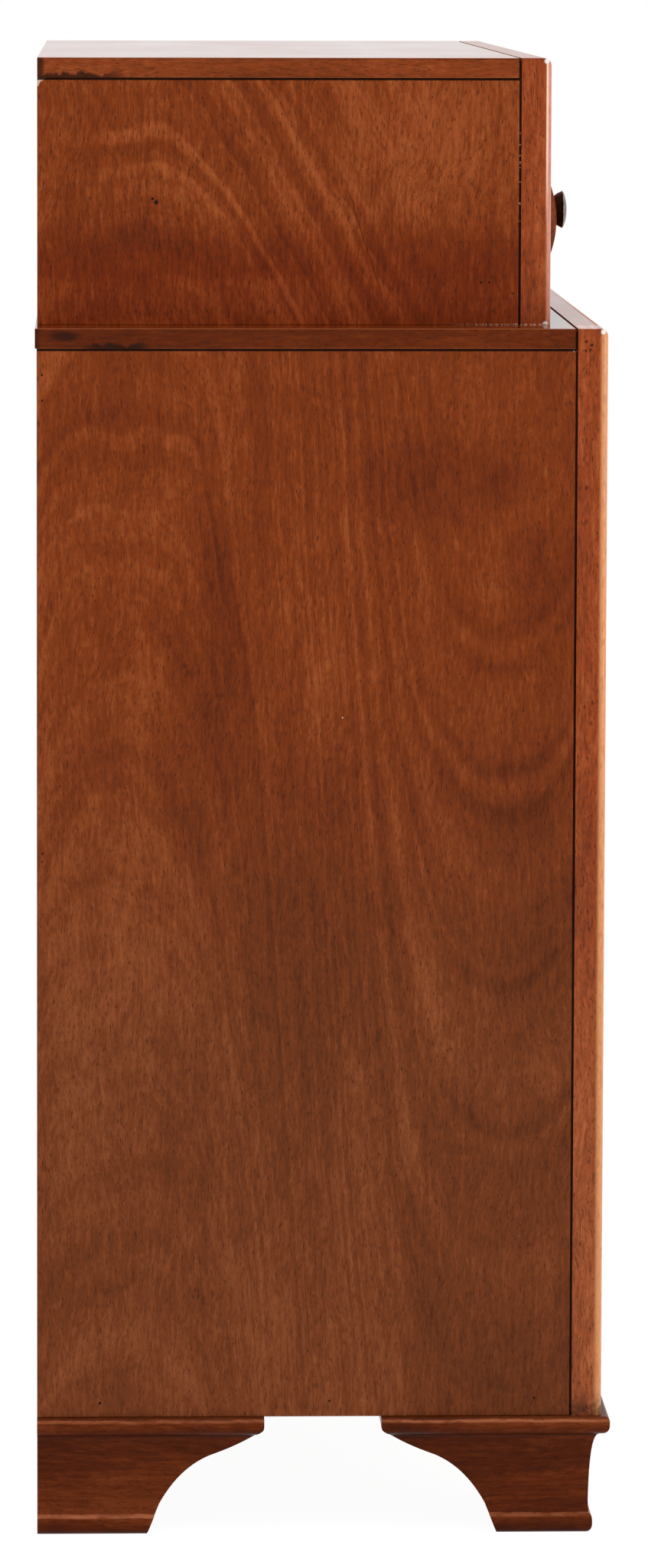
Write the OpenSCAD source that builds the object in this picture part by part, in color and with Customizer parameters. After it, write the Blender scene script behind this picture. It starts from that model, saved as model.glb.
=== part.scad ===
// Step-back chest of drawers on bracket feet.
// The front faces -Y, +Z is up, and the origin is on the floor under the middle.

/* [Overall] */
// Height from the floor to the top of the deck
total_h = 1224; // [1200:2:1240]
// Width of the lower case over its end panels
case_w = 900; // [860:10:960]
// Depth of the lower case, from its back to the face frame
case_d = 468; // [456:2:480]
// Height of the ledge from the floor
ledge_z = 1004; // [990:2:1010]
// Height of the bracket feet
foot_h = 101; // [96:1:105]
// Depth of the ledge in front of the deck
ledge_front = 44; // [36:1:50]
// Width of the ledge at each end
ledge_side = 46; // [40:1:56]

/* [Boards] */
// Thickness of the lower end panels
side_t = 20; // [18:0.5:22]
// Thickness of the deck end panels
deck_side_t = 18; // [16:0.5:20]
// Thickness of the two top plates
top_t = 16.5; // [15:0.5:18]
// How far the lower top plate stands out behind the case
top_back = 1.5; // [1:0.5:3]
// Thickness of the bottom boards
bottom_t = 12; // [10:1:14]
// Thickness of the back panels and dust panels
back_t = 6; // [5:0.5:7]
// Width of the shallow grooves where the boards meet
quirk = 2; // [1.2:0.1:2.2]

/* [Face frames] */
// Thickness of the face frames, front to back
frame_d = 25; // [24:0.5:28]
// Width of the lower stiles
stile_w = 42; // [38:1:46]
// Width of the deck stiles
deck_stile_w = 26; // [24:1:30]
// Height of the lower top rail
top_rail_h = 34; // [30:1:38]
// Height of the rails between the lower drawers
rail_h = 18; // [16:1:20]
// Height of the lower bottom rail
bottom_rail_h = 30; // [28:1:32]
// Height of the deck top rail
deck_top_rail_h = 22; // [20:1:24]
// Height of the deck bottom rail
deck_bottom_rail_h = 30; // [28:1:32]
// Width of the upright between the deck drawers
mullion_w = 22; // [18:1:26]
// Rounding of the upright outer edges
edge_r = 6; // [4:0.5:8]
// Rounding of the top front edges
top_edge_r = 7; // [4:0.5:9]

/* [Drawers] */
// Gap round each drawer front
drawer_gap = 1.5; // [1:0.25:2]
// Thickness of the lower drawer fronts
front_t = 20; // [18:0.5:22]
// Height that each lower drawer gains on the one above
drawer_step = 15; // [0:1:16]
// Radius of the bead round the lower drawer fronts
bead_r = 2; // [1.5:0.25:2.5]
// Thickness of the drawer sides and backs
box_t = 12; // [10:0.5:14]
// Clear space behind each drawer box
rear_gap = 20; // [16:1:40]
// Number of dovetails at each lower drawer corner
dovetails = 5; // [3:1:6]

/* [Ogee deck fronts] */
// How far the belly stands out past the face frame
crest_out = 6.5; // [6:0.5:11]
// Height of the belly above the lower edge of the front
crest_up = 54; // [50:0.5:56]
// Radius of the belly
crest_r = 85; // [80:1:90]
// How far the hollow runs in behind the face frame
trough_in = 5; // [3:0.5:6]
// Height from the belly up to the hollow
trough_up = 76; // [72:1:80]

/* [Knobs] */
// Diameter of the knobs
knob_d = 32; // [30:0.5:36]
// Length of the knobs
knob_len = 23.5; // [23:0.1:28]
// Diameter of the knob screws
screw_d = 4; // [3.5:0.5:4.5]
// Distance of the lower knobs from the middle
knob_x = 170; // [160:5:240]

/* [Feet] */
// Length of the front brackets
foot_len = 183; // [176:1:190]
// Length of the rear side brackets
rear_foot_len = 188; // [182:1:194]
// Thickness of the bracket blanks behind the case face
foot_t = 34; // [32:1:36]
// How far the moulding stands out past the case
nose_out = 6.5; // [5:0.5:8]
// How far the cove runs in behind the case face
cove_in = 10; // [9:0.5:11]
// Side of the square glue blocks
block_w = 40; // [34:1:46]

/* [Hidden] */
SIDES = ["left", "right"];
CASE_NODES = [
    "lower_side_left", "lower_side_right", "lower_stile_left", "lower_stile_right",
    "lower_top_rail", "lower_drawer_rails", "lower_bottom_rail", "lower_top",
    "lower_bottom", "lower_back", "drawer_runners", "dust_panels",
    "deck_side_left", "deck_side_right", "deck_stile_left", "deck_stile_right",
    "deck_top_rail", "deck_bottom_rail", "deck_partition", "deck_bottom",
    "deck_top", "deck_back",
    "front_foot_left_side", "front_foot_left_face", "front_foot_right_side",
    "front_foot_right_face", "rear_foot_left_side", "rear_foot_right_side",
    "rear_foot_backs", "foot_blocks"
];
DRAWER_PARTS = ["front", "box", "bottom", "knobs", "screws"];
DECK_DRAWER_PARTS = ["front", "box", "bottom", "knob", "screw"];
LOWER_DRAWERS = [for (i = [1:4]) str("drawer_", i)];
DECK_DRAWERS = [for (s = SIDES) str("deck_drawer_", s)];

// Colours
VENEER = [0.55, 0.26, 0.14];
FRAME_WOOD = [0.60, 0.29, 0.17];
FOOT_WOOD = [0.42, 0.17, 0.09];
FRONT_WOOD = [0.50, 0.20, 0.10];
DRAWER_WOOD = [0.78, 0.64, 0.45];
BACK_WOOD = [0.60, 0.45, 0.30];
BRONZE = [0.20, 0.15, 0.12];
STEEL = [0.60, 0.60, 0.58];

// Case faces
half_w = case_w / 2;
back_y = (case_d + knob_len - top_back) / 2;
front_y = back_y - case_d;
deck_y = front_y + ledge_front;
deck_half_w = half_w - ledge_side;
frame_back_y = front_y + frame_d;
deck_frame_back_y = deck_y + frame_d;
inner_w = half_w - side_t;
deck_inner_w = deck_half_w - deck_side_t;
inner_back_y = back_y - back_t;
lower_top_z = ledge_z - top_t;
deck_top_z = total_h - top_t;
back_rabbet = 8;

// Lower drawer openings, counted from the top
drawer_count = 4;
open_half_w = half_w - stile_w;
openings_bottom_z = foot_h + bottom_rail_h;
openings_top_z = ledge_z - top_rail_h;
openings_h = openings_top_z - openings_bottom_z - (drawer_count - 1) * rail_h;
function opening_h(i) = openings_h / drawer_count + (i - (drawer_count + 1) / 2) * drawer_step;
function opening_z(i) = i == drawer_count
    ? openings_bottom_z
    : opening_z(i + 1) + opening_h(i + 1) + rail_h;

// Drawer boxes
box_len = inner_back_y - rear_gap - front_y - front_t;
box_half_w = open_half_w - 3;
box_drop = 10;
side_lift = 0.6;
groove_up = 8;
groove_h = 6.3;
groove_deep = 6;
panel_t = 6;
fit_gap = 0.15;
back_fit = 0.2;
tail_len = 12;
tail_flare = 2;

// Runners
runner_w = 50;
guide_h = 12;
guide_gap = 1;
dust_groove = 5;
dust_fit = 0.3;

// Deck drawers
deck_open_bottom_z = ledge_z + deck_bottom_rail_h;
deck_open_top_z = total_h - deck_top_rail_h;
deck_open_h = deck_open_top_z - deck_open_bottom_z;
deck_open_x0 = mullion_w / 2;
deck_open_x1 = deck_half_w - deck_stile_w;
deck_open_mid = (deck_open_x0 + deck_open_x1) / 2;
deck_box_half_w = (deck_open_x1 - deck_open_x0) / 2 - 3;
deck_box_len = inner_back_y - rear_gap - deck_frame_back_y;
deck_dovetails = 4;
partition_t = 12;

// Screws
screw_r = screw_d / 2;
screw_in_knob = 12;
screw_head_r = 4.2;
screw_head_h = 2.4;
hole_r = screw_r + 0.5;
bore_r = screw_r + 0.05;
bore_deep = screw_in_knob + 2;

// A box between two corners
module board(low, high) {
    translate(low) cube(high - low);
}

// The left-hand piece, or its mirror image on the right
module on_side(side) {
    if (side == "left") children();
    else mirror([1, 0, 0]) children();
}

// A plan of (y, z) points drawn out along X from x0 to x1
module along_x(x0, x1) {
    translate([x0, 0, 0]) rotate([90, 0, 90]) linear_extrude(x1 - x0) children();
}

// A plan of (x, z) points drawn out along Y from y0 to y1
module along_y(y0, y1) {
    translate([0, y1, 0]) rotate([90, 0, 0]) linear_extrude(y1 - y0) children();
}

// A rectangle from the origin whose corner at the origin is rounded
module eased_rectangle(w, d, r) {
    union() {
        translate([r, r]) circle(r, $fn = 48);
        translate([r, 0]) square([w - r, d]);
        translate([0, r]) square([w, d - r]);
    }
}

// Points on a cubic curve from a to d, drawn by the handles b and c
function curve(a, b, c, d, n) = [
    for (i = [0:n]) let (t = i / n, s = 1 - t)
        s * s * s * a + 3 * s * s * t * b + 3 * s * t * t * c + t * t * t * d
];

// Points on an arc about c, from angle a0 to a1
function arc(c, r, a0, a1, n) = [
    for (i = [0:n]) let (a = a0 + (a1 - a0) * i / n) c + r * [cos(a), sin(a)]
];

// Lower case

module lower_side(side) {
    color(VENEER) on_side(side) difference() {
        board([-half_w, frame_back_y, foot_h], [-inner_w, back_y, lower_top_z]);
        // Grooves beside the stile and under the top plate
        board([-half_w - 1, frame_back_y - 1, foot_h - 1],
              [-half_w + quirk, frame_back_y + quirk, lower_top_z + 1]);
        board([-half_w - 1, frame_back_y - 1, lower_top_z - quirk],
              [-half_w + quirk, back_y + 1, lower_top_z + 1]);
        // Rabbet for the back panel
        board([-inner_w - back_rabbet, inner_back_y, foot_h - 1],
              [-inner_w + 1, back_y + 1, lower_top_z + 1]);
    }
}

// A stile with its outer edge and its top front edge rounded
module stile(outer_x, face_y, z0, z1, w) {
    color(FRAME_WOOD) intersection() {
        translate([outer_x, face_y, z0]) linear_extrude(z1 - z0) eased_rectangle(w, frame_d, edge_r);
        along_x(outer_x, outer_x + w)
            translate([face_y, z1]) mirror([0, 1]) eased_rectangle(frame_d, z1 - z0, top_edge_r);
    }
}

// A rail whose top front edge is rounded
module topped_rail(half_len, face_y, z0, z1) {
    color(FRAME_WOOD) along_x(-half_len, half_len)
        translate([face_y, z1]) mirror([0, 1]) eased_rectangle(frame_d, z1 - z0, top_edge_r);
}

module lower_stile(side) {
    on_side(side) stile(-half_w, front_y, foot_h, ledge_z, stile_w);
}

module lower_top_rail() {
    topped_rail(open_half_w, front_y, openings_top_z, ledge_z);
}

module lower_drawer_rails() {
    color(FRAME_WOOD) for (i = [1:drawer_count - 1])
        board([-open_half_w, front_y, opening_z(i) - rail_h], [open_half_w, frame_back_y, opening_z(i)]);
}

module lower_bottom_rail() {
    color(FRAME_WOOD)
        board([-open_half_w, front_y, foot_h], [open_half_w, frame_back_y, openings_bottom_z]);
}

// A top plate with a groove along its front edge and up its two front corners
module top_plate(w, y0, y1, z) {
    color(VENEER) difference() {
        board([-w, y0, z - top_t], [w, y1, z]);
        board([-w - 1, y0 - 1, z - quirk], [w + 1, y0 + quirk, z + 1]);
        for (s = [-1, 1])
            translate([s * w, y0, z - top_t / 2]) cube([2 * quirk, 2 * quirk, top_t + 2], center = true);
    }
}

module lower_top() {
    top_plate(half_w, frame_back_y, back_y + top_back, ledge_z);
}

module lower_bottom() {
    color(BACK_WOOD)
        board([-inner_w, frame_back_y, foot_h], [inner_w, inner_back_y, foot_h + bottom_t]);
}

module lower_back() {
    color(BACK_WOOD) board([-inner_w - back_rabbet, inner_back_y, foot_h],
                           [inner_w + back_rabbet, back_y, lower_top_z]);
}

// An L-shaped runner: the drawer side rides on its foot and is guided by its upright
module runner(z, grooved) {
    guide_w = inner_w - box_half_w - guide_gap;
    color(DRAWER_WOOD) difference() {
        along_y(frame_back_y, inner_back_y) polygon([
            [-inner_w, z - rail_h], [runner_w - inner_w, z - rail_h], [runner_w - inner_w, z],
            [guide_w - inner_w, z], [guide_w - inner_w, z + guide_h], [-inner_w, z + guide_h]
        ]);
        if (grooved)
            board([runner_w - inner_w - dust_groove, frame_back_y - 1, z - rail_h / 2 - back_t / 2],
                  [runner_w - inner_w + 1, inner_back_y + 1, z - rail_h / 2 + back_t / 2]);
    }
}

module drawer_runners() {
    for (side = SIDES, i = [1:drawer_count])
        on_side(side) runner(opening_z(i), i < drawer_count);
}

module dust_panels() {
    w = inner_w - runner_w + dust_groove - dust_fit;
    color(BACK_WOOD) for (i = [1:drawer_count - 1])
        board([-w, frame_back_y, opening_z(i) - rail_h / 2 - back_t / 2 + fit_gap],
              [w, inner_back_y, opening_z(i) - rail_h / 2 + back_t / 2 - fit_gap]);
}

// Deck case

module deck_side(side) {
    color(VENEER) on_side(side) difference() {
        board([-deck_half_w, deck_frame_back_y, ledge_z], [-deck_inner_w, back_y, deck_top_z]);
        board([-deck_half_w - 1, deck_frame_back_y - 1, ledge_z - 1],
              [-deck_half_w + quirk, deck_frame_back_y + quirk, deck_top_z + 1]);
        board([-deck_half_w - 1, deck_frame_back_y - 1, deck_top_z - quirk],
              [-deck_half_w + quirk, back_y + 1, deck_top_z + 1]);
        board([-deck_inner_w - back_rabbet, inner_back_y, ledge_z - 1],
              [-deck_inner_w + 1, back_y + 1, deck_top_z + 1]);
    }
}

module deck_stile(side) {
    on_side(side) stile(-deck_half_w, deck_y, ledge_z, total_h, deck_stile_w);
}

module deck_top_rail() {
    topped_rail(deck_open_x1, deck_y, deck_open_top_z, total_h);
}

module deck_bottom_rail() {
    color(FRAME_WOOD)
        board([-deck_open_x1, deck_y, ledge_z], [deck_open_x1, deck_frame_back_y, deck_open_bottom_z]);
}

// The upright between the deck drawers and the board behind it
module deck_partition() {
    color(FRAME_WOOD) union() {
        board([-deck_open_x0, deck_y, deck_open_bottom_z],
              [deck_open_x0, deck_frame_back_y, deck_open_top_z]);
        board([-partition_t / 2, deck_frame_back_y, deck_open_bottom_z],
              [partition_t / 2, inner_back_y, deck_top_z]);
    }
}

module deck_bottom() {
    color(BACK_WOOD) board([-deck_inner_w, deck_frame_back_y, deck_open_bottom_z - bottom_t],
                           [deck_inner_w, inner_back_y, deck_open_bottom_z]);
}

module deck_top() {
    top_plate(deck_half_w, deck_frame_back_y, back_y, total_h);
}

module deck_back() {
    color(BACK_WOOD) board([-deck_inner_w - back_rabbet, inner_back_y, ledge_z],
                           [deck_inner_w + back_rabbet, back_y, deck_top_z]);
}

// Bracket feet

// Section of a bracket as (distance out from the case face, height), with its
// moulding at the top, a long cove, a crease and a bead at the floor
nose_r = 3.5;
nose_flat = 4;
ovolo_r = nose_out + 1.3;
moulding_h = nose_r + nose_flat + ovolo_r;
cove_z = 27;
bead_top_z = 16.5;
pad_in = 6.5;
pad_z = 9;
function bracket_section() = concat(
    [[-foot_t, foot_h]],
    arc([nose_out - nose_r, foot_h - nose_r], nose_r, 90, 0, 6),
    arc([nose_out - ovolo_r, foot_h - nose_r - nose_flat], ovolo_r, 0, -90, 8),
    curve([nose_out - ovolo_r - 0.4, foot_h - moulding_h - 0.4], [-8.5, foot_h - moulding_h - 2.7],
          [0.5 - cove_in, foot_h / 2], [-cove_in, cove_z], 12),
    [[0.5 - cove_in, bead_top_z]],
    curve([1 - cove_in, bead_top_z - 0.7], [-pad_in - 0.5, bead_top_z - 1],
          [-pad_in, pad_z + 4], [-pad_in, pad_z], 6),
    curve([-pad_in, pad_z - 1], [-pad_in, pad_z - 5], [-pad_in - 1.5, 1.5], [-pad_in - 4, 0], 6),
    [[-foot_t, 0]]
);

// Outline of a bracket of length l as (distance from the corner, height): under
// the moulding a small swell, then a cove down to the foot
spill = nose_out + 2;
function bracket_outline(l) = concat(
    [[-spill, -1], [-spill, foot_h + 1], [l, foot_h + 1], [l, foot_h - 8]],
    [[l - 0.8, foot_h - 10.5]],
    curve([l - 3, foot_h - 12.5], [l - 14, foot_h - 22], [l - 30, foot_h - 29], [l - 45, foot_h - 34.5], 8),
    curve([l - 47, foot_h - 35.4], [l - 63, foot_h - 43], [l - 76, foot_h - 56], [l - 87, foot_h - 76], 12),
    [[l - 97, 0], [l - 97.5, -1]]
);

// A bracket along +X from a corner at the origin, with its face towards -Y
module bracket(l, plan) {
    color(FOOT_WOOD) intersection() {
        along_x(-spill, l + 1) polygon([for (p = bracket_section()) [-p[0], p[1]]]);
        along_y(-spill, foot_t + 1) polygon(bracket_outline(l));
        linear_extrude(foot_h) polygon(plan);
    }
}

// The plan of a bracket that is mitred to its neighbour
function mitred_plan(l) = [[-spill, -spill], [l + 1, -spill], [l + 1, foot_t + 1], [foot_t + 1, foot_t + 1]];

// The plan of a bracket that is cut square
function square_plan(l) = [[0, -spill], [l + 1, -spill], [l + 1, foot_t + 1], [0, foot_t + 1]];

module front_foot_face(side) {
    on_side(side) translate([-half_w, front_y, 0]) bracket(foot_len, mitred_plan(foot_len));
}

module front_foot_side(side) {
    on_side(side) translate([-half_w, front_y, 0])
        mirror([1, -1, 0]) bracket(foot_len, mitred_plan(foot_len));
}

module rear_foot_side(side) {
    on_side(side) translate([-half_w, back_y, 0])
        rotate([0, 0, -90]) bracket(rear_foot_len, square_plan(rear_foot_len));
}

// Plain boards that close the rear feet at the back
rear_board_t = 16;
rear_board_top = 120;
rear_board_foot = 52;
module rear_foot_backs() {
    for (side = SIDES)
        color(FOOT_WOOD) on_side(side) along_y(back_y - rear_board_t, back_y)
            translate([foot_t - half_w, 0]) polygon(concat(
                [[0, 0], [0, foot_h], [rear_board_top, foot_h], [rear_board_top, foot_h - 14]],
                curve([rear_board_top - 4, foot_h - 18], [rear_board_foot + 30, foot_h - 30],
                      [rear_board_foot + 12, foot_h / 2], [rear_board_foot + 4, 16], 10),
                [[rear_board_foot, 0]]
            ));
}

// Square blocks glued inside the corners, clear of the floor
block_lift = 6;
module foot_blocks() {
    x0 = foot_t - half_w;
    for (side = SIDES)
        color(DRAWER_WOOD) on_side(side) {
            board([x0, front_y + foot_t, block_lift], [x0 + block_w, front_y + foot_t + block_w, foot_h]);
            board([x0, back_y - rear_board_t - block_w, block_lift],
                  [x0 + block_w, back_y - rear_board_t, foot_h]);
        }
}

// Drawers: each is built with its opening's lower edge at z = 0, its middle at
// x = 0 and the back of its front at y = 0, then moved into place

// The dovetails of a corner, or with a gap the sockets that they fill
module tails(h, n, x0, x1, gap) {
    pitch = h / n;
    root = pitch / 2 - tail_flare - 2 + gap;
    for (i = [0:n - 1])
        along_x(x0, x1) translate([0, side_lift + (i + 0.5) * pitch]) polygon([
            [1, -root], [0, -root], [-tail_len - gap, -root - tail_flare],
            [-tail_len - gap, root + tail_flare], [0, root], [1, root]
        ]);
}

module box_side(half, h, len, n) {
    difference() {
        union() {
            board([-half, 0, side_lift], [-half + box_t, len, side_lift + h]);
            tails(h, n, -half, -half + box_t, 0);
        }
        board([-half + box_t - groove_deep, -groove_deep, side_lift + groove_up],
              [-half + box_t + 1, len + 1, side_lift + groove_up + groove_h]);
    }
}

module drawer_box(half, h, len, n) {
    back_z = side_lift + groove_up + groove_h + back_fit;
    color(DRAWER_WOOD) {
        for (side = SIDES) on_side(side) box_side(half, h, len, n);
        board([-half + box_t + back_fit, len - box_t, back_z],
              [half - box_t - back_fit, len, side_lift + h - box_drop]);
    }
}

module drawer_bottom(half, len) {
    w = half - box_t + groove_deep - fit_gap * 2;
    z = side_lift + groove_up + fit_gap;
    color(BACK_WOOD) board([-w, -groove_deep + 0.5, z], [w, len, z + panel_t]);
}

// What is cut from the back of a front: sockets, bottom groove and screw holes
module front_cuts(half, h, n, knob_at, knob_z, depth) {
    for (side = SIDES) on_side(side) tails(h, n, -half - fit_gap, -half + box_t + fit_gap, fit_gap);
    board([-half + box_t - groove_deep, -groove_deep, side_lift + groove_up],
          [half - box_t + groove_deep, 1, side_lift + groove_up + groove_h]);
    for (x = knob_at)
        translate([x, 1, knob_z]) rotate([90, 0, 0]) cylinder(h = depth + 2, r = hole_r, $fn = 32);
}

// A flat front with a half-round bead round its edge
module beaded_front(half, h) {
    z0 = drawer_gap;
    z1 = drawer_gap + h;
    bx = half - bead_r;
    union() {
        board([-half, -front_t, z0], [half, 0, z1]);
        for (z = [z0 + bead_r, z1 - bead_r])
            translate([-bx, -front_t, z]) rotate([0, 90, 0]) cylinder(h = 2 * bx, r = bead_r, $fn = 24);
        for (x = [-bx, bx])
            translate([x, -front_t, z0 + bead_r]) cylinder(h = h - 2 * bead_r, r = bead_r, $fn = 24);
        for (x = [-bx, bx], z = [z0 + bead_r, z1 - bead_r])
            translate([x, -front_t, z]) sphere(bead_r, $fn = 24);
    }
}

// The ogee front's face as (y, z) points, with the face frame at y = -frame_d:
// a belly that runs up into a hollow, on two arcs that meet smoothly
ogee_reach = crest_out + trough_in;
ogee_sum = (trough_up * trough_up + ogee_reach * ogee_reach) / (2 * ogee_reach);
trough_r = ogee_sum - crest_r;
ogee_angle = asin(trough_up / ogee_sum);
module ogee_front(half, h) {
    z0 = drawer_gap;
    belly = [crest_r - crest_out - frame_d, z0 + crest_up];
    hollow = [trough_in - trough_r - frame_d, z0 + crest_up + trough_up];
    low = asin(crest_up / crest_r);
    high = asin((h - crest_up - trough_up) / trough_r);
    along_x(-half, half) polygon(concat(
        [[0, z0 + h], [0, z0]],
        arc(belly, crest_r, 180 + low, 180 - ogee_angle, 24),
        arc(hollow, trough_r, -ogee_angle + ogee_angle / 12, high, 18)
    ));
}

// A turned knob, standing on z = 0 with its face up
module knob() {
    r = knob_d / 2;
    rim_z = knob_len - 4.2;
    color(BRONZE) rotate_extrude($fn = 64) polygon(concat(
        [[0, bore_deep], [bore_r, bore_deep], [bore_r, 0], [r * 0.6, 0], [r * 0.6, 1.2]],
        curve([r * 0.56, 1.6], [r * 0.46, 2.6], [r * 0.44, 5], [r * 0.47, rim_z * 0.42], 5),
        curve([r * 0.5, rim_z * 0.46], [r * 0.62, rim_z * 0.54],
              [r * 0.86, rim_z * 0.72], [r - 0.5, rim_z - 0.6], 7),
        arc([r - 0.9, rim_z + 0.3], 0.9, -30, 75, 5),
        curve([r * 0.93, rim_z + 1.4], [r * 0.7, knob_len - 0.9], [r * 0.4, knob_len], [0, knob_len], 8)
    ));
}

// Knobs along a front whose face is face_out from y = 0
module knobs(knob_at, z, face_out) {
    for (x = knob_at) translate([x, -face_out, z]) rotate([90, 0, 0]) knob();
}

// Screws from inside the drawer into the knobs
module screws(knob_at, z, face_out) {
    for (x = knob_at) color(STEEL) translate([x, 0, z]) rotate([90, 0, 0]) {
        cylinder(h = face_out + screw_in_knob, r = screw_r, $fn = 32);
        translate([0, 0, -screw_head_h]) cylinder(h = screw_head_h, r = screw_head_r, $fn = 32);
    }
}

// One piece of lower drawer i
module lower_drawer(i, piece) {
    h = opening_h(i) - 2 * drawer_gap;
    side_h = h - box_drop;
    knob_at = [-knob_x, knob_x];
    knob_z = drawer_gap + h / 2;
    translate([0, front_y + front_t, opening_z(i)]) {
        if (piece == "front") color(FRONT_WOOD) difference() {
            beaded_front(open_half_w - drawer_gap, h);
            front_cuts(box_half_w, side_h, dovetails, knob_at, knob_z, front_t);
        }
        if (piece == "box") drawer_box(box_half_w, side_h, box_len, dovetails);
        if (piece == "bottom") drawer_bottom(box_half_w, box_len);
        if (piece == "knobs") knobs(knob_at, knob_z, front_t);
        if (piece == "screws") screws(knob_at, knob_z, front_t);
    }
}

// One piece of a deck drawer, which has a single knob in the middle
module deck_drawer(side, piece) {
    h = deck_open_h - 2 * drawer_gap;
    side_h = h - box_drop;
    half = (deck_open_x1 - deck_open_x0) / 2 - drawer_gap;
    knob_at = [0];
    knob_z = drawer_gap + crest_up;
    face_out = frame_d + crest_out;
    x = side == "left" ? -deck_open_mid : deck_open_mid;
    translate([x, deck_frame_back_y, deck_open_bottom_z]) {
        if (piece == "front") color(FRONT_WOOD) difference() {
            ogee_front(half, h);
            front_cuts(deck_box_half_w, side_h, deck_dovetails, knob_at, knob_z, face_out);
        }
        if (piece == "box") drawer_box(deck_box_half_w, side_h, deck_box_len, deck_dovetails);
        if (piece == "bottom") drawer_bottom(deck_box_half_w, deck_box_len);
        if (piece == "knob") knobs(knob_at, knob_z, face_out);
        if (piece == "screw") screws(knob_at, knob_z, face_out);
    }
}

lower_side("left");  // lower_side_left
lower_side("right");  // lower_side_right
lower_stile("left");  // lower_stile_left
lower_stile("right");  // lower_stile_right
lower_top_rail();
lower_drawer_rails();
lower_bottom_rail();
lower_top();
lower_bottom();
lower_back();
drawer_runners();
dust_panels();
deck_side("left");  // deck_side_left
deck_side("right");  // deck_side_right
deck_stile("left");  // deck_stile_left
deck_stile("right");  // deck_stile_right
deck_top_rail();
deck_bottom_rail();
deck_partition();
deck_bottom();
deck_top();
deck_back();
front_foot_side("left");  // front_foot_left_side
front_foot_face("left");  // front_foot_left_face
front_foot_side("right");  // front_foot_right_side
front_foot_face("right");  // front_foot_right_face
rear_foot_side("left");  // rear_foot_left_side
rear_foot_side("right");  // rear_foot_right_side
rear_foot_backs();
foot_blocks();
for (i = [1:drawer_count], piece = DRAWER_PARTS)
    lower_drawer(i, piece);
for (side = SIDES, piece = DECK_DRAWER_PARTS)
    deck_drawer(side, piece);
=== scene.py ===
import math

import bpy
from mathutils import Matrix, Vector


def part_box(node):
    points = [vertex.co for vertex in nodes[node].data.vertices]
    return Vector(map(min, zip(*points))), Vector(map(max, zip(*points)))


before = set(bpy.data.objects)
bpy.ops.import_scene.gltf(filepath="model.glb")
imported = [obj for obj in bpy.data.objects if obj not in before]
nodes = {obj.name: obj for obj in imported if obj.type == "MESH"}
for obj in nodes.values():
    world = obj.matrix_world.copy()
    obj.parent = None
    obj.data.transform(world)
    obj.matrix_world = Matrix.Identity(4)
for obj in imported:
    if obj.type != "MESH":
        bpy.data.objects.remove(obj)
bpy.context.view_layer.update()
scene = bpy.context.scene

# Names that repeat
SIDES = ("left", "right")
DRAWERS = [f"drawer_{i}" for i in range(1, 5)] + [f"deck_drawer_{side}" for side in SIDES]

# Places taken from the solids, in metres
DECK_HALF_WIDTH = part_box("deck_top")[1][0]
CASE_HALF_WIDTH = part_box("lower_top")[1][0]
DECK_PLATE_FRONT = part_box("deck_top")[0][1]
LOWER_PLATE_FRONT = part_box("lower_top")[0][1]
DECK_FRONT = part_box("deck_stile_left")[0][1]
CASE_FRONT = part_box("lower_stile_left")[0][1]
LEDGE_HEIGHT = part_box("lower_top")[1][2]
DECK_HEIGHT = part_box("deck_top")[1][2]
FOOT_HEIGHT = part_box("rear_foot_left_side")[1][2]

# Camera, far off the left end of the chest, with its focal length in pixels of the 847 x 2048 image
IMAGE_H = 2048
FOCAL_PX = 7222
CAMERA_AT = Vector((-4.950, 0.1925, 1.3165))
PITCH, YAW, ROLL = math.radians(4.14), math.radians(1.342), math.radians(0.115)
SHIFT_X, SHIFT_Y = 0.06, -0.28
SENSOR = 36
FAR_CLIP = 100

# Light: a white studio, a tall narrow lamp before the front and a soft one above
DIFFUSE_WORLD = 0.78
FRONT_LAMP = dict(at=(-0.9, -3.6, 1.5), aim=(0, 0, 0.7), size=(0.8, 2.4), power=85)
TOP_LAMP = dict(at=(-1.4, 0.6, 4.2), aim=(0, 0, 0.6), size=(2.5, 2.5), power=60)
FLOOR_REACH = 60
FLOOR_BOUNCE, FLOOR_GLOW, FLOOR_SHADE = 0.82, 0.955, 0.09

# Softened edges of the boards, in metres
EDGE_WELD, EDGE_WIDTH = 1e-6, 0.0006
EDGE_ANGLE = math.radians(50)

# Depth of the grooves cut into the ends, and relief of the surfaces, in metres
RECESS_DEPTH = 0.0035
POLISHED_RELIEF, BARE_RELIEF, METAL_RELIEF = 0.00022, 0.0004, 0.0001

# Share of a drawer box's width, from each end of it, that holds its side
BOX_SIDE_SHARE = 0.036

# Colours, linear: dark, middle and light of each wood
SIDE = (0.100, 0.0150, 0.0016), (0.203, 0.0350, 0.0046), (0.345, 0.0820, 0.0190)
SIDE_DEEP = (0.090, 0.0110, 0.0008), (0.180, 0.0240, 0.0016), (0.310, 0.0580, 0.0100)
SIDE_LOW = (0.080, 0.0180, 0.0040), (0.163, 0.0375, 0.0085), (0.275, 0.0770, 0.0240)
PLATE = (0.110, 0.0200, 0.0030), (0.235, 0.0440, 0.0085), (0.360, 0.0850, 0.0220)
LEDGE = (0.056, 0.0080, 0.0008), (0.112, 0.0170, 0.0018), (0.185, 0.0340, 0.0050)
FRAME = (0.130, 0.0200, 0.0036), (0.278, 0.0490, 0.0092), (0.435, 0.1050, 0.0300)
FRAME_LOW = (0.145, 0.0300, 0.0090), (0.310, 0.0740, 0.0210), (0.460, 0.1400, 0.0500)
FOOT = (0.050, 0.0070, 0.0006), (0.096, 0.0150, 0.0012), (0.165, 0.0320, 0.0060)
FRONT = (0.070, 0.0110, 0.0020), (0.190, 0.0350, 0.0060), (0.340, 0.0850, 0.0220)
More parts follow.
